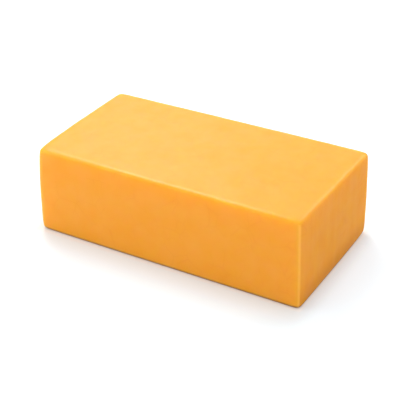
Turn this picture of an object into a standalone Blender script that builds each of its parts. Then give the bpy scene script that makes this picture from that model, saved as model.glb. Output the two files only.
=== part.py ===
"""A block of cheddar: one solid, soft-edged block, slightly out of square, lying on its flat base.

Metres, +Z up. The long side runs along X and the front face looks along -Y. The origin is at the
middle of the base, on the surface that the block lies on.
Run it with blender --background --python part.py, or from Blender's text editor.
"""

import math

import bmesh
import bpy
from mathutils import Vector

# The block's three sides, before it is set out of square.
LENGTH = 0.170
WIDTH = 0.0924
HEIGHT = 0.0528

# The rounding starts this far from an edge: seen in plan, down from the top and up from the base.
PLAN_SOFTNESS = 0.0058
TOP_SOFTNESS = 0.0044
BASE_SOFTNESS = 0.0060

# The block is rounded below as well, and then cut flat at this height, which leaves a crisp foot.
BASE_CUT = 0.00075

# How the block is out of square.
RIGHT_TOP_LEANS_IN = 0.0009
RIGHT_BASE_STANDS_OUT = 0.0007
LEFT_END_SWING = 0.0008
FRONT_FACE_SWING = 0.0007
FRONT_TOP_RISE = 0.0007
BACK_LEFT_TOP_DROP = 0.0005
SIDE_BULGE = 0.0003

# How far each corner is worn in. Signs say which corner: left or right, front or back, base or top.
CRISP = 0.0
HARDLY_WORN = 0.0005
WORN = 0.0010
WELL_WORN = 0.0015
BLUNT = 0.0025
CORNER_WEAR = {
    (-1, -1, -1): HARDLY_WORN,
    (1, -1, -1): CRISP,
    (-1, 1, -1): WORN,
    (1, 1, -1): WELL_WORN,
    (-1, -1, 1): BLUNT,
    (1, -1, 1): WORN,
    (-1, 1, 1): CRISP,
    (1, 1, 1): HARDLY_WORN,
}

# The cage reaches below the base plane by the part that is cut away.
CAGE_BOTTOM = -BASE_CUT

# A point whose weight for a side is under this lies on the opposite side.
ON_A_SIDE = 1e-4

# Cells of the cage between the loops that hold the edges, along X, Y and Z.
INNER_CELLS = (5, 3, 2)
SUBDIVISIONS = 2

# The cutter's own size: it only has to be larger than the block.
CUTTER_SIZE = (0.25, 0.15, 0.02)

CHEDDAR_COLOUR = (0.87, 0.42, 0.08, 1.0)
CHEDDAR_ROUGHNESS = 0.45


def clear_scene():
    """Remove every object that is already in the file."""
    for existing in list(bpy.data.objects):
        bpy.data.objects.remove(existing, do_unlink=True)


def loop_places(start, end, inner_cells):
    """Evenly spaced places from the first loop of a side to its last, both included."""
    step = (end - start) / inner_cells
    return [start + step * index for index in range(inner_cells + 1)]


def make_cage():
    """A box of the block's size, cut across by loops: one near each edge, and some between."""
    cage = bmesh.new()
    bmesh.ops.create_cube(cage, size=1.0)
    cage_height = HEIGHT - CAGE_BOTTOM
    bmesh.ops.scale(cage, vec=(LENGTH, WIDTH, cage_height), verts=cage.verts)
    bmesh.ops.translate(cage, vec=(0, 0, CAGE_BOTTOM + cage_height / 2), verts=cage.verts)
    loops = (
        loop_places(PLAN_SOFTNESS - LENGTH / 2, LENGTH / 2 - PLAN_SOFTNESS, INNER_CELLS[0]),
        loop_places(PLAN_SOFTNESS - WIDTH / 2, WIDTH / 2 - PLAN_SOFTNESS, INNER_CELLS[1]),
        loop_places(CAGE_BOTTOM + BASE_SOFTNESS, HEIGHT - TOP_SOFTNESS, INNER_CELLS[2]),
    )
    for axis, places in enumerate(loops):
        direction = Vector((0, 0, 0))
        direction[axis] = 1.0
        for place in places:
            everything = cage.verts[:] + cage.edges[:] + cage.faces[:]
            bmesh.ops.bisect_plane(cage, geom=everything, plane_co=direction * place, plane_no=direction)
    return cage


def shares(point):
    """How near a point is to each side of the block: six weights from 0 to 1, in opposite pairs."""
    right = 0.5 + point.x / LENGTH
    back = 0.5 + point.y / WIDTH
    top = (point.z - CAGE_BOTTOM) / (HEIGHT - CAGE_BOTTOM)
    return right, 1 - right, back, 1 - back, top, 1 - top


def out_of_square(point):
    """The shift that turns the true box into the hand-cut one. Nothing moves up or down at the base."""
    right, left, back, front, top, base = shares(point)
    return Vector((
        right * (RIGHT_BASE_STANDS_OUT * base - RIGHT_TOP_LEANS_IN * top)
        + left * LEFT_END_SWING * (front - back),
        front * FRONT_FACE_SWING * (left - right),
        top * (FRONT_TOP_RISE * front - BACK_LEFT_TOP_DROP * left * back),
    ))


def side_bulge(point):
    """The four upright faces swell a little at mid height, most at their middle."""
    right, left, back, front, top, base = shares(point)
    mid_height = 4 * top * base
    shift = Vector((0, 0, 0))
    if min(right, left) < ON_A_SIDE:
        shift.x = math.copysign(SIDE_BULGE, point.x) * mid_height * 4 * front * back
    if min(front, back) < ON_A_SIDE:
        shift.y = math.copysign(SIDE_BULGE, point.y) * mid_height * 4 * left * right
    return shift


def corner_wear(point):
    """Each corner is drawn in along its diagonal, fading out within the rounding of the edges."""
    shift = Vector((0, 0, 0))
    for signs, depth in CORNER_WEAR.items():
        corner = Vector((
            signs[0] * LENGTH / 2,
            signs[1] * WIDTH / 2,
            HEIGHT if signs[2] > 0 else CAGE_BOTTOM,
        ))
        nearness = math.exp(-((point - corner).length / PLAN_SOFTNESS) ** 2)
        shift -= Vector(signs).normalized() * depth * nearness
    return shift


def shape_cage(cage):
    """Move the cage's points from the true box to the real block's form."""
    for vert in cage.verts:
        rest = vert.co.copy()
        vert.co = rest + out_of_square(rest) + side_bulge(rest) + corner_wear(rest)


def make_cheddar():
    """The material: an even orange-yellow with a soft, slightly waxy shine."""
    material = bpy.data.materials.new("cheddar")
    material.use_nodes = True
    shader = material.node_tree.nodes["Principled BSDF"]
    shader.inputs["Base Color"].default_value = CHEDDAR_COLOUR
    shader.inputs["Roughness"].default_value = CHEDDAR_ROUGHNESS
    shader.inputs["Metallic"].default_value = 0.0
    material.diffuse_color = CHEDDAR_COLOUR
    return material


def make_base_cutter(collection):
    """The box below z = 0 that takes off the rounded underside."""
    cutter_mesh = bpy.data.meshes.new("base_cutter")
    box = bmesh.new()
    bmesh.ops.create_cube(box, size=1.0)
    bmesh.ops.scale(box, vec=CUTTER_SIZE, verts=box.verts)
    bmesh.ops.translate(box, vec=(0, 0, -CUTTER_SIZE[2] / 2), verts=box.verts)
    box.to_mesh(cutter_mesh)
    box.free()
    cutter = bpy.data.objects.new("base_cutter", cutter_mesh)
    cutter.hide_render = True
    cutter.display_type = "WIRE"
    collection.objects.link(cutter)
    return cutter


def centre_over_origin(block):
    """Slide the block level, so that its rounded form is centred over the origin."""
    bpy.context.view_layer.update()
    evaluated = block.evaluated_get(bpy.context.evaluated_depsgraph_get())
    rounded = evaluated.to_mesh()
    along = [vert.co.x for vert in rounded.vertices]
    across = [vert.co.y for vert in rounded.vertices]
    middle = Vector((min(along) + max(along), min(across) + max(across), 0)) / 2
    evaluated.to_mesh_clear()
    for vert in block.data.vertices:
        vert.co -= middle


def make_block(collection, cutters):
    """The cheddar block: the shaped cage, rounded by subdivision and cut flat at the base."""
    cage = make_cage()
    shape_cage(cage)
    mesh = bpy.data.meshes.new("cheddar_block")
    cage.to_mesh(mesh)
    cage.free()
    mesh.shade_smooth()
    mesh.materials.append(make_cheddar())
    block = bpy.data.objects.new("cheddar_block", mesh)
    collection.objects.link(block)
    rounding = block.modifiers.new("rounding", "SUBSURF")
    rounding.levels = SUBDIVISIONS
    rounding.render_levels = SUBDIVISIONS
    base_cut = block.modifiers.new("base_cut", "BOOLEAN")
    base_cut.operation = "DIFFERENCE"
    base_cut.solver = "EXACT"
    base_cut.object = make_base_cutter(cutters)
    centre_over_origin(block)
    return block


def make_collection(name):
    """A new collection, linked to the scene."""
    collection = bpy.data.collections.new(name)
    bpy.context.scene.collection.children.link(collection)
    return collection


def main():
    clear_scene()
    make_block(make_collection("cheddar_block_part"), make_collection("cutters"))


main()
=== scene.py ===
"""The looks of the cheddar block: a finer copy of the solid with relief, its material and the studio.

Metres, +Z up. The front face looks along -Y, and the two cut ends look along X.
"""
import math

import bmesh
import bpy
from mathutils import Matrix, Vector, noise


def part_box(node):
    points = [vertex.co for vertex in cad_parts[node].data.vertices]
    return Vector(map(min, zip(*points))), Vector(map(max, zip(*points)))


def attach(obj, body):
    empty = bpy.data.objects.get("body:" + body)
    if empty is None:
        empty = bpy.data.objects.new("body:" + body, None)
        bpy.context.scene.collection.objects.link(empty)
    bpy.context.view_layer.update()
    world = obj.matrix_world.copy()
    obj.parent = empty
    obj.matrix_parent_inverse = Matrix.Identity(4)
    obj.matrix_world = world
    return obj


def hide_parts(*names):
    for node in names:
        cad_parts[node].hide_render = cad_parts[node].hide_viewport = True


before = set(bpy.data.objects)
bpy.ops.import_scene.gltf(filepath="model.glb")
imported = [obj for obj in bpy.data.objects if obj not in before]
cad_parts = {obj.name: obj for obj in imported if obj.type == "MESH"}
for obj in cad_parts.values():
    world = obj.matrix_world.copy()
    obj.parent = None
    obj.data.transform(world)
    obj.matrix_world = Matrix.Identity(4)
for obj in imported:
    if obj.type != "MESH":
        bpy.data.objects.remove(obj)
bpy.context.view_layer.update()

MM = 0.001
WHITE = (1.0, 1.0, 1.0, 1.0)
BLACK = (0.0, 0.0, 0.0, 1.0)

# The block's form, as the solid has it: its three sides, before it is set out of square.
LENGTH = 170.0 * MM
WIDTH = 92.4 * MM
HEIGHT = 52.8 * MM
# The rounding starts this far from an edge: seen in plan, down from the top and up from the base.
PLAN_SOFTNESS = 5.8 * MM
TOP_SOFTNESS = 4.4 * MM
BASE_SOFTNESS = 6.0 * MM
# The block is rounded below as well, and then cut flat at this height, which leaves a crisp foot.
BASE_CUT = 0.75 * MM
# How the block is out of square.
RIGHT_TOP_LEANS_IN = 0.9 * MM
RIGHT_BASE_STANDS_OUT = 0.7 * MM
LEFT_END_SWING = 0.8 * MM
FRONT_FACE_SWING = 0.7 * MM
FRONT_TOP_RISE = 0.7 * MM
BACK_LEFT_TOP_DROP = 0.5 * MM
SIDE_BULGE = 0.3 * MM
# How far each worn corner is drawn in. Signs say which: left or right, front or back, base or top.
CORNER_WEAR = {
    (-1, -1, -1): 0.5 * MM,
    (-1, 1, -1): 1.0 * MM,
    (1, 1, -1): 1.5 * MM,
    (-1, -1, 1): 2.5 * MM,
    (1, -1, 1): 1.0 * MM,
    (1, 1, 1): 0.5 * MM,
}
# Cells of the cage between the loops that hold the edges, along X, Y and Z.
INNER_CELLS = (5, 3, 2)
# A point whose weight for a side is under this lies on the opposite side.
ON_A_SIDE = 1e-4


def loop_places(start, end, inner_cells):
    """Evenly spaced places from the first loop of a side to its last, both included."""
    step = (end - start) / inner_cells
    return [start + step * index for index in range(inner_cells + 1)]


def make_cage():
    """A box of the block's size, cut across by loops: one near each edge, and some between."""
    cage = bmesh.new()
    bmesh.ops.create_cube(cage, size=1.0)
    cage_height = HEIGHT + BASE_CUT
    bmesh.ops.scale(cage, vec=(LENGTH, WIDTH, cage_height), verts=cage.verts)
    bmesh.ops.translate(cage, vec=(0, 0, cage_height / 2 - BASE_CUT), verts=cage.verts)
    loops = (
        loop_places(PLAN_SOFTNESS - LENGTH / 2, LENGTH / 2 - PLAN_SOFTNESS, INNER_CELLS[0]),
        loop_places(PLAN_SOFTNESS - WIDTH / 2, WIDTH / 2 - PLAN_SOFTNESS, INNER_CELLS[1]),
        loop_places(BASE_SOFTNESS - BASE_CUT, HEIGHT - TOP_SOFTNESS, INNER_CELLS[2]),
    )
    for axis, places in enumerate(loops):
        direction = Vector((0, 0, 0))
        direction[axis] = 1.0
        for place in places:
            everything = cage.verts[:] + cage.edges[:] + cage.faces[:]
            bmesh.ops.bisect_plane(cage, geom=everything, plane_co=direction * place, plane_no=direction)
    return cage


def shares(point):
    """How near a point is to each side of the block: six weights from 0 to 1, in opposite pairs."""
    right = 0.5 + point.x / LENGTH
    back = 0.5 + point.y / WIDTH
    top = (point.z + BASE_CUT) / (HEIGHT + BASE_CUT)
    return right, 1 - right, back, 1 - back, top, 1 - top


def out_of_square(point):
    """The shift that turns the true box into the hand-cut one. Nothing moves up or down at the base."""
    right, left, back, front, top, base = shares(point)
    return Vector((
        right * (RIGHT_BASE_STANDS_OUT * base - RIGHT_TOP_LEANS_IN * top)
        + left * LEFT_END_SWING * (front - back),
        front * FRONT_FACE_SWING * (left - right),
        top * (FRONT_TOP_RISE * front - BACK_LEFT_TOP_DROP * left * back),
    ))


def side_bulge(point):
    """The four upright faces swell a little at mid height, most at their middle."""
    right, left, back, front, top, base = shares(point)
    mid_height = 4 * top * base
    shift = Vector((0, 0, 0))
    if min(right, left) < ON_A_SIDE:
        shift.x = math.copysign(SIDE_BULGE, point.x) * mid_height * 4 * front * back
    if min(front, back) < ON_A_SIDE:
        shift.y = math.copysign(SIDE_BULGE, point.y) * mid_height * 4 * left * right
    return shift


def corner_wear(point):
    """Each worn corner is drawn in along its diagonal, fading out within the rounding of the edges."""
    shift = Vector((0, 0, 0))
    for signs, depth in CORNER_WEAR.items():
        corner = Vector((
            signs[0] * LENGTH / 2,
            signs[1] * WIDTH / 2,
            HEIGHT if signs[2] > 0 else -BASE_CUT,
        ))
        nearness = math.exp(-((point - corner).length / PLAN_SOFTNESS) ** 2)
        shift -= Vector(signs).normalized() * depth * nearness
    return shift


def shape_cage(cage):
    """Move the cage's points from the true box to the real block's form."""
    for vert in cage.verts:
        rest = vert.co.copy()
        vert.co = rest + out_of_square(rest) + side_bulge(rest) + corner_wear(rest)


# How many times the cage is subdivided, and the length over which an edge is then halved once.
SUBDIVISIONS = 4
LONGEST_EDGE = 1.2 * MM
# Points this near to the base plane are moved onto it.
SNAP = 0.08 * MM

# The relief: how deep each kind is, how long its waves are, and the place where its noise is read,
# which keeps the three kinds from lining up.
WAVER_DEPTH = 0.12 * MM
WAVER_LENGTH = 30 * MM
CURD_DEPTH = 0.07 * MM
CURD_LENGTH = 7 * MM
CURD_NOISE_PLACE = Vector((7, 3, 5))
EDGE_DEPTH = 0.10 * MM
EDGE_LENGTH = 11 * MM
EDGE_NOISE_PLACE = Vector((2, 9, 4))
# The edge relief is full where the largest part of the normal has dropped this far below 1.
EDGE_TURN = 0.25
# The relief fades out towards the base over this height.
BASE_FADE = 4 * MM


def rounded_mesh():
    """The shaped cage, rounded by subdivision, as one fine mesh."""
    cage = make_cage()
    shape_cage(cage)
    coarse = bpy.data.meshes.new("cheddar_cage")
    cage.to_mesh(coarse)
    cage.free()
    holder = bpy.data.objects.new("cheddar_cage", coarse)
    bpy.context.scene.collection.objects.link(holder)
    rounding = holder.modifiers.new("rounding", "SUBSURF")
    rounding.levels = SUBDIVISIONS
    rounding.render_levels = SUBDIVISIONS
    bpy.context.view_layer.update()
    graph = bpy.context.evaluated_depsgraph_get()
    fine = bpy.data.meshes.new_from_object(holder.evaluated_get(graph))
    bpy.data.objects.remove(holder)
    bpy.data.meshes.remove(coarse)
    return fine


def cut_base(block):
    """Cut the underside off flat at z = 0 and close it with one face."""
    everything = block.verts[:] + block.edges[:] + block.faces[:]
    bmesh.ops.bisect_plane(
        block, geom=everything, dist=SNAP, plane_co=(0, 0, 0), plane_no=(0, 0, 1), clear_inner=True)
    rim = [edge for edge in block.edges if edge.is_boundary]
    for vert in {vert for edge in rim for vert in edge.verts}:
        vert.co.z = 0.0
    bmesh.ops.contextual_create(block, geom=rim)


def refine(block):
    """Halve the long edges of the flats, so that the whole mesh is fine enough for the relief."""
    long_edges = [edge for edge in block.edges if edge.calc_length() > LONGEST_EDGE]
    bmesh.ops.subdivide_edges(block, edges=long_edges, cuts=1, use_grid_fill=True)


def relief(point, normal):
    """How far the surface stands out or in at a point of the rounded block."""
    waver = noise.noise(point / WAVER_LENGTH) * WAVER_DEPTH
    curd = noise.noise(point / CURD_LENGTH + CURD_NOISE_PLACE) * CURD_DEPTH
    turn = 1 - max(abs(normal.x), abs(normal.y), abs(normal.z))
    on_edge = min(1.0, turn / EDGE_TURN)
    nibble = noise.noise(point / EDGE_LENGTH + EDGE_NOISE_PLACE) * EDGE_DEPTH * on_edge
    fade = min(1.0, max(0.0, point.z / BASE_FADE))
    return (waver + curd + nibble) * fade


def add_relief(block):
    """Move each point of the rounded block along its normal by the relief."""
    block.normal_update()
    shifts = [vert.normal * relief(vert.co, vert.normal) for vert in block.verts]
    for vert, shift in zip(block.verts, shifts):
        vert.co += shift


def fit_to_frame(block, low, high):
    """Slide the block level over the middle of the solid's box, and set it on the box's floor."""
    along = [vert.co.x for vert in block.verts]
    across = [vert.co.y for vert in block.verts]
    middle = Vector((min(along) + max(along), min(across) + max(across), 0)) / 2
    target = Vector(((low.x + high.x) / 2, (low.y + high.y) / 2, low.z))
    bmesh.ops.translate(block, vec=target - middle, verts=block.verts)


def make_block():
    """The visible block, which stands for the solid."""
    block = bmesh.new()
    block.from_mesh(rounded_mesh())
    cut_base(block)
    refine(block)
    add_relief(block)
    low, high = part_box("cheddar_block")
    fit_to_frame(block, low, high)
    mesh = bpy.data.meshes.new("cheddar")
    block.to_mesh(mesh)
    block.free()
    mesh.shade_smooth()
    piece = bpy.data.objects.new("cheddar", mesh)
    bpy.context.scene.collection.objects.link(piece)
    return piece


# The colours are in linear light. The curd has paler patches in it.
CHEDDAR = (0.884, 0.351, 0.009, 1.0)
CHEDDAR_PALE = (0.901, 0.369, 0.025, 1.0)
PATCH_LENGTH = 12.0 * MM
PATCH_DETAIL = 2.0
# Painted highlight: the rounded edges are paler still, the upright ones the most.
PAINTED_EDGE_HIGHLIGHT = (1.0, 0.44, 0.060, 1.0)
TOP_EDGE_HIGHLIGHT_PAINT = 0.20
UPRIGHT_EDGE_HIGHLIGHT_PAINT = 1.0
# The tones are multiplied in. The two cut ends are deeper in colour, and painted shade makes them darker
# still low down.
CUT_TONE = (1.0, 0.905, 0.76, 1.0)
LOW_END_PAINTED_SHADE = (0.83, 0.76, 0.67, 1.0)
LOW_END_SHADE_HEIGHT = 16 * MM
# Painted shadow: the foot is darkened where it meets the floor.
FOOT_PAINTED_SHADOW = (0.16, 0.15, 0.45, 1.0)
FOOT_SHADOW_HEIGHT = 2.6 * MM
# The lines where the curds have knit together: how far apart, how far bent and how wide they are.
KNIT_TONE = (0.98, 0.95, 0.88, 1.0)
KNIT_LENGTH = 11.0 * MM
KNIT_BEND = 2.5 * MM
KNIT_BEND_DETAIL = 2.0
KNIT_WIDTH = 0.045
# They show only where a slow noise is high.
KNIT_SHOWN_LENGTH = 16 * MM
KNIT_SHOWN_DETAIL = 1.0
KNIT_SHOWN_BETWEEN = (0.42, 0.60)
# The wire that cut the ends left fine upright marks: noise of this length, drawn out along Z.
WIRE_TONE = (0.985, 0.94, 0.88, 1.0)
WIRE_LENGTH = 5.0 * MM
WIRE_STRETCH = 0.12
WIRE_DETAIL = 4.0
WIRE_SHOWN_BETWEEN = (0.32, 0.68)
# How far red, green and blue light travel inside, as parts of the scale.
SUBSURFACE_RADIUS = (0.6, 0.75, 0.03)
SUBSURFACE_SCALE = 14.0 * MM
CHEDDAR_IOR = 1.33
# The pressed faces are smoother than the two cut ends, and the rubbed edges are smoother still.
PRESSED_ROUGHNESS = 0.36
CUT_ROUGHNESS = 0.68
EDGE_ROUGHNESS = 0.24
# The roughness is uneven by this much in all, in waves of this length.
ROUGHNESS_SPREAD = 0.15
SPREAD_LENGTH = 9 * MM
SPREAD_DETAIL = 3.0
# A smoother skin than this would come out of the render's denoiser with dark spots.
LEAST_ROUGHNESS = 0.285
# The fine grain, and how much of it the rubbed edges keep.
GRAIN_LENGTH = 0.9 * MM
GRAIN_DETAIL = 2.0
GRAIN_DEPTH = 0.012 * MM
RUBBED_GRAIN = 0.25
# A mask starts at the first number of its pair and is full at the second. These two go by the largest
# part of the normal, which is 1 on the flats and less on the rounded edges.
RUBBED_BETWEEN = (0.995, 0.955)
EDGE_HIGHLIGHT_BETWEEN = (0.97, 0.80)
# This one goes by the X part of the normal, and the next by its Z part, which is 0 on upright edges.
CUT_BETWEEN = (0.70, 0.97)
UPRIGHT_BETWEEN = (0.6, 0.2)
# Nearly all of a noise texture's values lie between these.
NOISE_BETWEEN = (0.2, 0.8)


def new_material(name):
    """An empty node material and its Principled shader."""
    material = bpy.data.materials.new(name)
    material.use_nodes = True
    return material, material.node_tree.nodes["Principled BSDF"]


def feed(tree, socket, source):
    """Link a socket to another node's output, or set it to a plain value."""
    if isinstance(source, bpy.types.NodeSocket):
        tree.links.new(source, socket)
    else:
        socket.default_value = source


def add_node(tree, kind, feeds=None, **settings):
    """A new node with its settings made and its sockets fed, each by its name or number."""
    made = tree.nodes.new(kind)
    for name, value in settings.items():
        setattr(made, name, value)
    for socket, source in (feeds or {}).items():
        feed(tree, made.inputs[socket], source)
    return made


def noise_texture(tree, place, length, detail):
    """A noise texture with its waves about this long."""
    return add_node(tree, "ShaderNodeTexNoise", {"Vector": place, "Scale": 1 / length, "Detail": detail})


def waves(tree, place, length, detail):
    """Soft noise from 0 to 1, with its waves about this long."""
    return noise_texture(tree, place, length, detail).outputs["Fac"]


def climb(tree, value, start, end, low=0.0, high=1.0):
    """The eased climb from low to high while a value goes from start to end."""
    feeds = {"Value": value, "From Min": start, "From Max": end, "To Min": low, "To Max": high}
    ramp = add_node(tree, "ShaderNodeMapRange", feeds, interpolation_type="SMOOTHSTEP")
    return ramp.outputs["Result"]


def combine(tree, operation, first, second):
    """What a Math node makes of two values, of which the second may be a plain number."""
    made = add_node(tree, "ShaderNodeMath", {0: first, 1: second}, operation=operation)
    return made.outputs["Value"]


def combine_vectors(tree, operation, first, second=(0, 0, 0)):
    """What a Vector Math node makes of a vector and a second one, which may be plain numbers."""
    made = add_node(tree, "ShaderNodeVectorMath", {0: first, 1: second}, operation=operation)
    return made.outputs["Value" if operation == "LENGTH" else "Vector"]


def blend_colour(tree, factor, below, above, blend_type="MIX"):
    """Two colours mixed by a factor."""
    feeds = {"Factor": factor, "A": below, "B": above}
    made = add_node(tree, "ShaderNodeMix", feeds, data_type="RGBA", blend_type=blend_type)
    return made.outputs["Result"]


def side_masks(tree, normal):
    """Where the block is rubbed, where its edges get a painted highlight and where it is cut, each from 0
    to 1.
    """
    size = combine_vectors(tree, "ABSOLUTE", normal)
    parts = add_node(tree, "ShaderNodeSeparateXYZ", {"Vector": size}).outputs
    facing = combine(tree, "MAXIMUM", combine(tree, "MAXIMUM", parts["X"], parts["Y"]), parts["Z"])
    rubbed = climb(tree, facing, *RUBBED_BETWEEN)
    # Painted highlight on the rounded edges, strongest on the upright ones.
    edge = climb(tree, facing, *EDGE_HIGHLIGHT_BETWEEN)
    highlight_paint = climb(tree, parts["Z"], *UPRIGHT_BETWEEN, TOP_EDGE_HIGHLIGHT_PAINT, UPRIGHT_EDGE_HIGHLIGHT_PAINT)
    cut = climb(tree, parts["X"], *CUT_BETWEEN)
    return rubbed, combine(tree, "MULTIPLY", edge, highlight_paint), cut


def knit_lines(tree, place):
    """The bent lines between the curds, each showing only along part of its run, from 0 to 1."""
    drift = noise_texture(tree, place, KNIT_LENGTH, KNIT_BEND_DETAIL).outputs["Color"]
    bend = combine_vectors(tree, "MULTIPLY", drift, (KNIT_BEND, KNIT_BEND, KNIT_BEND))
    bent = combine_vectors(tree, "ADD", place, bend)
    feeds = {"Vector": bent, "Scale": 1 / KNIT_LENGTH}
    cells = add_node(tree, "ShaderNodeTexVoronoi", feeds, feature="DISTANCE_TO_EDGE")
    line = climb(tree, cells.outputs["Distance"], KNIT_WIDTH, 0.0)
    slow = waves(tree, place, KNIT_SHOWN_LENGTH, KNIT_SHOWN_DETAIL)
    return combine(tree, "MULTIPLY", line, climb(tree, slow, *KNIT_SHOWN_BETWEEN))


def wire_marks(tree, place, cut):
    """The fine upright marks on the cut ends, from 0 to 1."""
    drawn = combine_vectors(tree, "MULTIPLY", place, (1, 1, WIRE_STRETCH))
    streaks = climb(tree, waves(tree, drawn, WIRE_LENGTH, WIRE_DETAIL), *WIRE_SHOWN_BETWEEN)
    return combine(tree, "MULTIPLY", streaks, cut)


def curd_colour(tree, place, edge_highlight_paint, cut, knit, wire):
    """The colour: soft patches, a painted highlight on the edges, and over them the tones of ends, marks
    and lines, with painted shade low on the ends and at the foot.
    """
    height = add_node(tree, "ShaderNodeSeparateXYZ", {"Vector": place}).outputs["Z"]
    # Painted shadow: the foot darkens where it meets the floor.
    foot_shadow = climb(tree, height, FOOT_SHADOW_HEIGHT, 0.0)
    # Painted shade: the cut ends darken towards the floor.
    low_end_shade = combine(tree, "MULTIPLY", cut, climb(tree, height, LOW_END_SHADE_HEIGHT, 0.0))
    patches = climb(tree, waves(tree, place, PATCH_LENGTH, PATCH_DETAIL), *NOISE_BETWEEN)
    tint = blend_colour(tree, patches, CHEDDAR, CHEDDAR_PALE)
    # Painted highlight: the rounded edges are made paler, the upright ones the most.
    tint = blend_colour(tree, edge_highlight_paint, tint, PAINTED_EDGE_HIGHLIGHT)
    tones = (
        (cut, CUT_TONE),
        (low_end_shade, LOW_END_PAINTED_SHADE),
        (wire, WIRE_TONE),
        (knit, KNIT_TONE),
        (foot_shadow, FOOT_PAINTED_SHADOW),
    )
    for mask, tone in tones:
        tint = blend_colour(tree, mask, tint, tone, "MULTIPLY")
    return tint


def skin_roughness(tree, place, rubbed, cut):
    """The roughness: smooth pressed faces, smoother edges, duller cut ends, and uneven all over."""
    slow = waves(tree, place, SPREAD_LENGTH, SPREAD_DETAIL)
    spread = climb(tree, slow, *NOISE_BETWEEN, -ROUGHNESS_SPREAD / 2, ROUGHNESS_SPREAD / 2)
    skin = climb(tree, rubbed, 0.0, 1.0, PRESSED_ROUGHNESS, EDGE_ROUGHNESS)
    dull = combine(tree, "MULTIPLY", cut, CUT_ROUGHNESS - PRESSED_ROUGHNESS)
    rough = combine(tree, "ADD", combine(tree, "ADD", skin, dull), spread)
    return combine(tree, "MAXIMUM", rough, LEAST_ROUGHNESS)


def skin_bump(tree, place, rubbed, knit, wire):
    """The fine grain with the lines and marks cut into it, all weaker where the skin is rubbed."""
    marks = combine(tree, "ADD", knit, wire)
    grain = combine(tree, "SUBTRACT", waves(tree, place, GRAIN_LENGTH, GRAIN_DETAIL), marks)
    kept_grain = combine(tree, "MULTIPLY", grain, climb(tree, rubbed, 0.0, 1.0, 1.0, RUBBED_GRAIN))
    feeds = {"Height": kept_grain, "Strength": 1.0, "Distance": GRAIN_DEPTH}
    return add_node(tree, "ShaderNodeBump", feeds).outputs["Normal"]


def make_cheddar():
    """Cheddar: light goes some millimetres in, the curd shows faintly, and the skin has a waxy shine."""
    material, shader = new_material("cheddar_curd")
    tree = material.node_tree
    outputs = add_node(tree, "ShaderNodeTexCoord").outputs
    place = outputs["Object"]
    rubbed, edge_highlight_paint, cut = side_masks(tree, outputs["Normal"])
    knit = knit_lines(tree, place)
    wire = wire_marks(tree, place, cut)
    feed(tree, shader.inputs["Base Color"], curd_colour(tree, place, edge_highlight_paint, cut, knit, wire))
    feed(tree, shader.inputs["Roughness"], skin_roughness(tree, place, rubbed, cut))
    feed(tree, shader.inputs["Normal"], skin_bump(tree, place, rubbed, knit, wire))
    shader.inputs["IOR"].default_value = CHEDDAR_IOR
    shader.inputs["Subsurface Weight"].default_value = 1.0
    shader.inputs["Subsurface Radius"].default_value = SUBSURFACE_RADIUS
    shader.inputs["Subsurface Scale"].default_value = SUBSURFACE_SCALE
    return material


FLOOR_SIZE = 8.0
FLOOR_WHITE = (0.66, 0.66, 0.66, 1.0)
FLOOR_ROUGHNESS = 0.9
# The floor glows, weakly by the block and more strongly clear of it, which softens the shadow. The
# glow is slightly blue, to make up for the warm light that the block throws on the floor.
NEAR_GLOW = (0.20, 0.23, 0.24, 1.0)
FAR_GLOW = (0.32, 0.40, 0.45, 1.0)
# The glow grows over these distances: out from the ends, and out from the long faces.
END_REACH = 12 * MM
LONG_FACE_REACH = 28 * MM
# Right beside the block the glow is a little warm.
CONTACT_GLOW = (0.28, 0.22, 0.18, 1.0)
CONTACT_WIDTH = 3 * MM
# Far out, past the softboxes' light, the floor turns as white as the backdrop that it runs into.
HORIZON_START = 0.35
HORIZON_END = 1.6
# The backdrop is a little smaller than the floor, so that it hides the floor's edge.
BACKDROP_RADIUS = 3.9


def glowing_material(name, colour):
    """A matt material of this colour, which glows as well, and its shader."""
    material, shader = new_material(name)
    shader.inputs["Base Color"].default_value = colour
    shader.inputs["Specular IOR Level"].default_value = 0.0
    shader.inputs["Emission Strength"].default_value = 1.0
    return material, shader


def floor_glow(tree):
    """The floor's glow by the distance from the block, and white far out."""
    place = add_node(tree, "ShaderNodeTexCoord").outputs["Object"]
    side = combine_vectors(tree, "ABSOLUTE", place)
    past = combine_vectors(tree, "SUBTRACT", side, (LENGTH / 2, WIDTH / 2, 0))
    outward = combine_vectors(tree, "MAXIMUM", past)
    reach = combine_vectors(tree, "DIVIDE", outward, (END_REACH, LONG_FACE_REACH, 1))
    away = climb(tree, combine_vectors(tree, "LENGTH", reach), 0.0, 1.0)
    beside = climb(tree, combine_vectors(tree, "LENGTH", outward), CONTACT_WIDTH, 0.0)
    far_out = climb(tree, combine_vectors(tree, "LENGTH", place), HORIZON_START, HORIZON_END)
    glow = blend_colour(tree, away, NEAR_GLOW, FAR_GLOW)
    glow = blend_colour(tree, beside, glow, CONTACT_GLOW)
    return blend_colour(tree, far_out, glow, WHITE)


def make_floor(level):
    """A white floor under the block, which glows: painted light, weak in the block's shadow and a little
    warm beside it.
    """
    bpy.ops.mesh.primitive_plane_add(size=FLOOR_SIZE, location=(0, 0, level))
    floor = bpy.context.object
    floor.name = "floor"
    material, shader = glowing_material("floor", FLOOR_WHITE)
    shader.inputs["Roughness"].default_value = FLOOR_ROUGHNESS
    feed(material.node_tree, shader.inputs["Emission Color"], floor_glow(material.node_tree))
    floor.data.materials.append(material)


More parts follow.
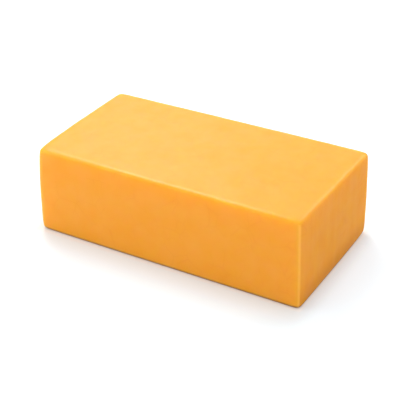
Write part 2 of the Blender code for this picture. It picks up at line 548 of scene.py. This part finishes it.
def make_backdrop():
    """A white dome behind everything, which only the camera sees: it lights and mirrors in nothing."""
    bpy.ops.mesh.primitive_uv_sphere_add(radius=BACKDROP_RADIUS)
    backdrop = bpy.context.object
    backdrop.name = "backdrop"
    material, shader = glowing_material("backdrop", BLACK)
    shader.inputs["Emission Color"].default_value = WHITE
    backdrop.data.materials.append(material)
    backdrop.visible_diffuse = False
    backdrop.visible_glossy = False
    backdrop.visible_transmission = False
    backdrop.visible_volume_scatter = False
    backdrop.visible_shadow = False


# The softboxes face this point in the block. Their usual side and distance from the origin:
SOFTBOX_AIM = Vector((0, 0, 0.02))
SOFTBOX_SIDE = 0.70
SOFTBOX_DISTANCE = 1.30
# The white room's own light reaches every side of the block.
WORLD_STRENGTH = 0.30


def towards(round_from_front, height):
    """The direction at these angles, in degrees: anticlockwise round from the front, and up."""
    turn = math.radians(round_from_front)
    rise = math.radians(height)
    return Vector((math.sin(turn) * math.cos(rise), -math.cos(turn) * math.cos(rise), math.sin(rise)))


def aim_softbox(name, round_from_front, height, brightness, side=SOFTBOX_SIDE, distance=SOFTBOX_DISTANCE):
    """A square softbox at this distance, facing the block and hidden from the camera itself.

    Its power goes with its area, so brightness is that of its surface, whatever its side.
    """
    data = bpy.data.lights.new(name, "AREA")
    data.shape = "SQUARE"
    data.size = side
    data.energy = math.pi * side * side * brightness
    light = bpy.data.objects.new(name, data)
    light.location = towards(round_from_front, height) * distance
    light.rotation_euler = (SOFTBOX_AIM - light.location).to_track_quat("-Z", "Y").to_euler()
    light.visible_camera = False
    bpy.context.scene.collection.objects.link(light)


def make_light():
    """A white room and its softboxes: most of their light comes from behind and from above."""
    world = bpy.data.worlds.new("studio")
    world.use_nodes = True
    background = world.node_tree.nodes["Background"]
    background.inputs["Color"].default_value = WHITE
    background.inputs["Strength"].default_value = WORLD_STRENGTH
    bpy.context.scene.world = world
    aim_softbox("high_left", round_from_front=270, height=65, brightness=2.2)
    aim_softbox("high_right", round_from_front=90, height=65, brightness=2.5)
    aim_softbox("back_left", round_from_front=225, height=45, brightness=3.2)
    aim_softbox("back_low", round_from_front=208, height=22, brightness=0.8)
    aim_softbox("back", round_from_front=178, height=42, brightness=3.4, side=0.50)
    aim_softbox("back_right", round_from_front=160, height=28, brightness=1.2)
    aim_softbox("front_right", round_from_front=40, height=52, brightness=1.2)
    aim_softbox("front", round_from_front=350, height=27, brightness=1.45)
    aim_softbox("near_left", round_from_front=315, height=30, brightness=1.9, side=0.35, distance=0.60)
    aim_softbox("glint", round_from_front=230, height=54, brightness=18.0, side=0.24)


# The camera was set by matching the solid's outline with the photograph's. Its line of sight passes
# the origin this far to the right and above.
VIEW_AZIMUTH = 29.46
VIEW_ELEVATION = 29.83
VIEW_DISTANCE = 682.5 * MM
AIM_RIGHT = -1.12 * MM
AIM_UP = 17.61 * MM
LENS_MM = 103.62
SENSOR_MM = 36.0
CLIP_START = 0.01
CLIP_END = 50.0


def make_camera():
    """The photograph's camera: where it stands, what it aims at and its lens."""
    back = towards(VIEW_AZIMUTH, VIEW_ELEVATION)
    right = towards(VIEW_AZIMUTH + 90, 0)
    up = back.cross(right)
    data = bpy.data.cameras.new("camera")
    data.lens = LENS_MM
    data.sensor_width = SENSOR_MM
    data.clip_start = CLIP_START
    data.clip_end = CLIP_END
    camera = bpy.data.objects.new("camera", data)
    place = right * AIM_RIGHT + up * AIM_UP + back * VIEW_DISTANCE
    camera.matrix_world = Matrix.Translation(place) @ Matrix((right, up, back)).transposed().to_4x4()
    bpy.context.scene.collection.objects.link(camera)
    bpy.context.scene.camera = camera


def main():
    """The block with its material, and the studio round it."""
    block = make_block()
    block.data.materials.append(make_cheddar())
    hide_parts("cheddar_block")
    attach(block, "root")
    make_floor(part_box("cheddar_block")[0].z)
    make_backdrop()
    make_light()
    make_camera()
    bpy.context.scene.view_settings.view_transform = "Standard"


main()
bpy.context.view_layer.update()
